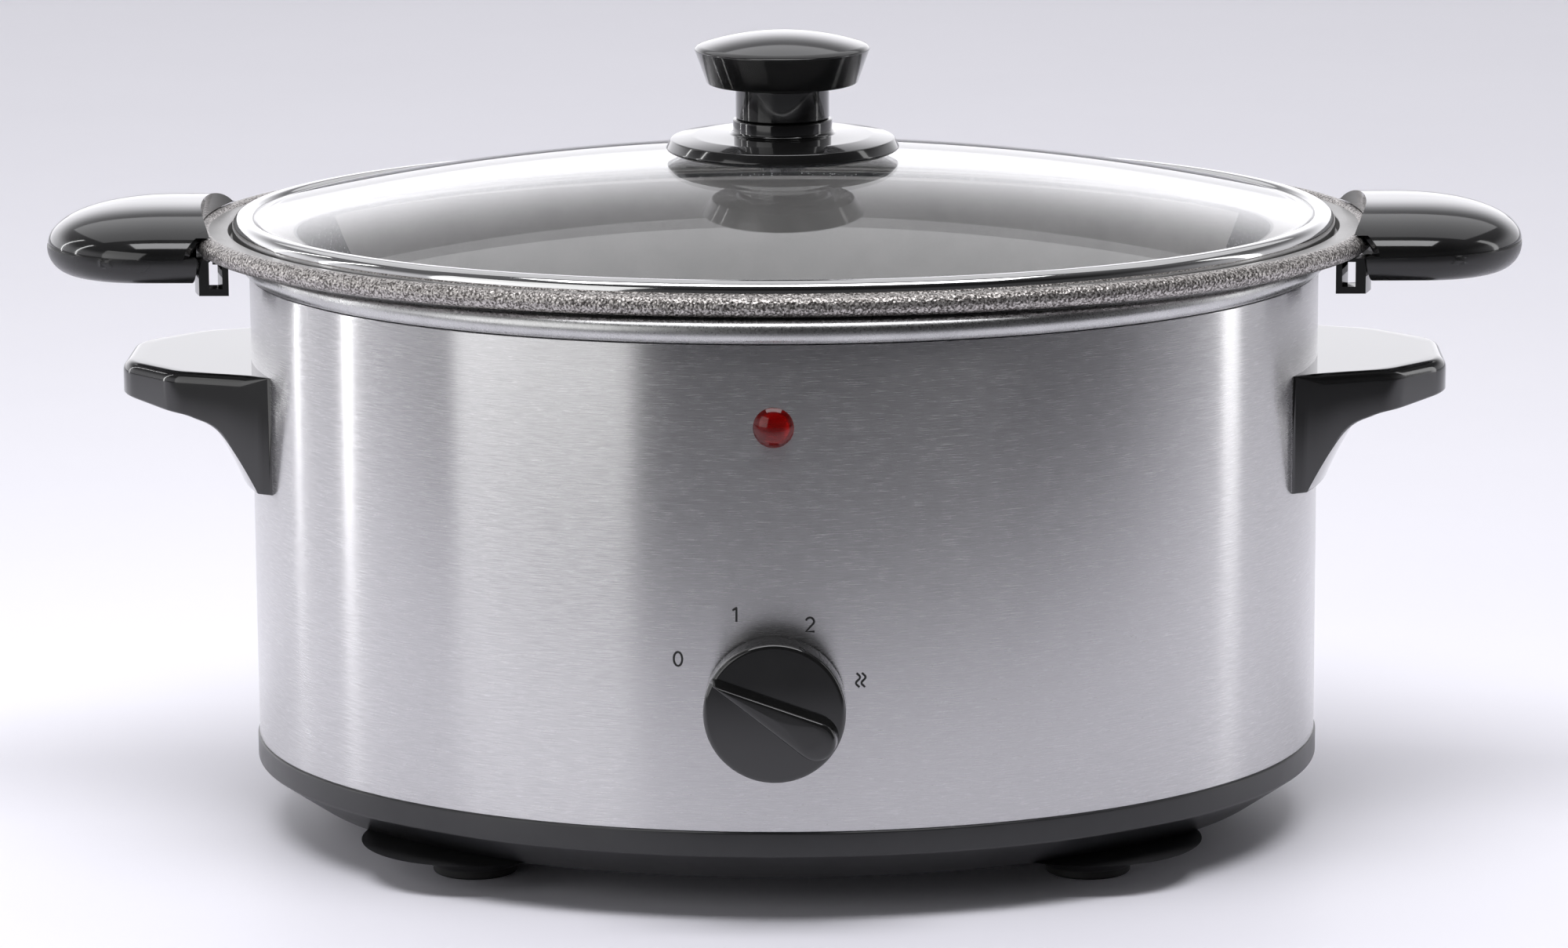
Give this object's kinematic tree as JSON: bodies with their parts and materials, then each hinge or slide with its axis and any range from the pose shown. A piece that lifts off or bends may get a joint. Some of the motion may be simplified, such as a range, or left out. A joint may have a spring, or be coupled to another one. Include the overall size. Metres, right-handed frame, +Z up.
{
  "type": "slow cooker",
  "caption": "Oval slow cooker: brushed steel housing, lift-out cooking pot with clip-on grips, domed glass lid with knob, front control dial, red lamp and side handles.",
  "frame": {"origin": "on the floor under the middle of the whole object's box", "axes": "+X along the long axis to the right, -Y towards the user, +Z up"},
  "size_m": [0.426, 0.2728, 0.23],
  "materials": {
    "steel_brushed": "horizontally brushed satin",
    "steel_plain": "plain mill finish",
    "chrome": "bright polished",
    "black_gloss": "gloss moulded",
    "black_satin": "satin moulded",
    "base_black": "satin moulded",
    "rubber": "matt",
    "pot_coat": "speckled non-stick coating",
    "liner_steel": "aluminised, fine texture",
    "glass": "clear polished",
    "lens_red": "clear red, polished",
    "lamp_glass": "clear",
    "silicone": "matt",
    "brass": "plain",
    "mica": "matt insulating sheet",
    "switch_plastic": "plain moulded",
    "wire_brown": "insulated wire",
    "wire_blue": "insulated wire",
    "wire_green": "insulated wire",
    "wire_white": "insulated wire"
  },
  "bodies": {
    "base": {"outer_housing": "steel_brushed", "base_moulding": "base_black", "rubber_feet": "rubber", "inner_liner": "liner_steel", "liner_bridge": "steel_plain", "tie_bolt": "steel_plain", "tie_nut": "steel_plain", "heater_band": "mica", "heater_straps": "steel_plain", "strap_springs": "steel_plain", "thermal_fuse": "switch_plastic", "fuse_clip": "steel_plain", "switch_case": "switch_plastic", "switch_cover": "switch_plastic", "switch_tabs": "brass", "switch_screws": "steel_plain", "indicator_lens": "lens_red", "neon_lamp": "lamp_glass", "lamp_clip": "steel_plain", "side_handle_right": "black_gloss", "side_handle_left": "black_gloss", "side_handle_screws": "steel_plain", "cord_gland": "rubber", "gland_nut": "black_satin", "terminal_block": "switch_plastic", "terminal_screws": "brass", "live_wire": "wire_brown", "neutral_wire": "wire_blue", "fuse_wire": "wire_blue", "low_heat_wire": "wire_white", "high_heat_wire": "wire_white", "earth_wire": "wire_green", "lamp_leads": "wire_white"},
    "dial": {"control_dial": "black_gloss", "switch_shaft": "steel_plain", "switch_rotor": "switch_plastic"},
    "pot": {"cooking_pot": "pot_coat", "right_grip_top": "black_gloss", "left_grip_top": "black_gloss", "right_grip_bottom": "black_satin", "left_grip_bottom": "black_satin", "grip_screws": "steel_plain", "catch_pins": "steel_plain", "right_catch_spring": "steel_plain", "left_catch_spring": "steel_plain"},
    "right_catch": {"right_catch": "black_gloss"},
    "left_catch": {"left_catch": "black_gloss"},
    "lid": {"lid_glass": "glass", "lid_rim": "chrome", "knob_skirt": "black_gloss", "knob_cap": "black_gloss", "knob_insert": "brass", "knob_seat": "silicone", "knob_washer": "silicone", "knob_bolt": "steel_plain"}
  },
  "joints": [
    {"name": "pot_lift", "type": "slide", "parent": "base", "child": "pot", "axis": [0, 0, 1], "range_m": [0, 0.13]},
    {"name": "lid_lift", "type": "slide", "parent": "pot", "child": "lid", "axis": [0, 0, 1], "range_m": [0, 0.08]},
    {"name": "dial_turn", "type": "hinge", "parent": "base", "child": "dial", "pos_m": [0, -0.11935, 0.062], "axis": [0, 1, 0], "range_deg": [0, 135]},
    {"name": "right_catch_rock", "type": "hinge", "parent": "pot", "child": "right_catch", "pos_m": [0.182, 0.007, 0.1642], "axis": [0, -1, 0], "range_deg": [0, 10], "stiffness_Nm_per_rad": 0.25, "springref_deg": -11.46, "deforming": ["right_catch_spring"]},
    {"name": "left_catch_rock", "type": "hinge", "parent": "pot", "child": "left_catch", "pos_m": [-0.182, 0.007, 0.1642], "axis": [0, 1, 0], "range_deg": [0, 10], "stiffness_Nm_per_rad": 0.25, "springref_deg": -11.46, "deforming": ["left_catch_spring"]}
  ]
}
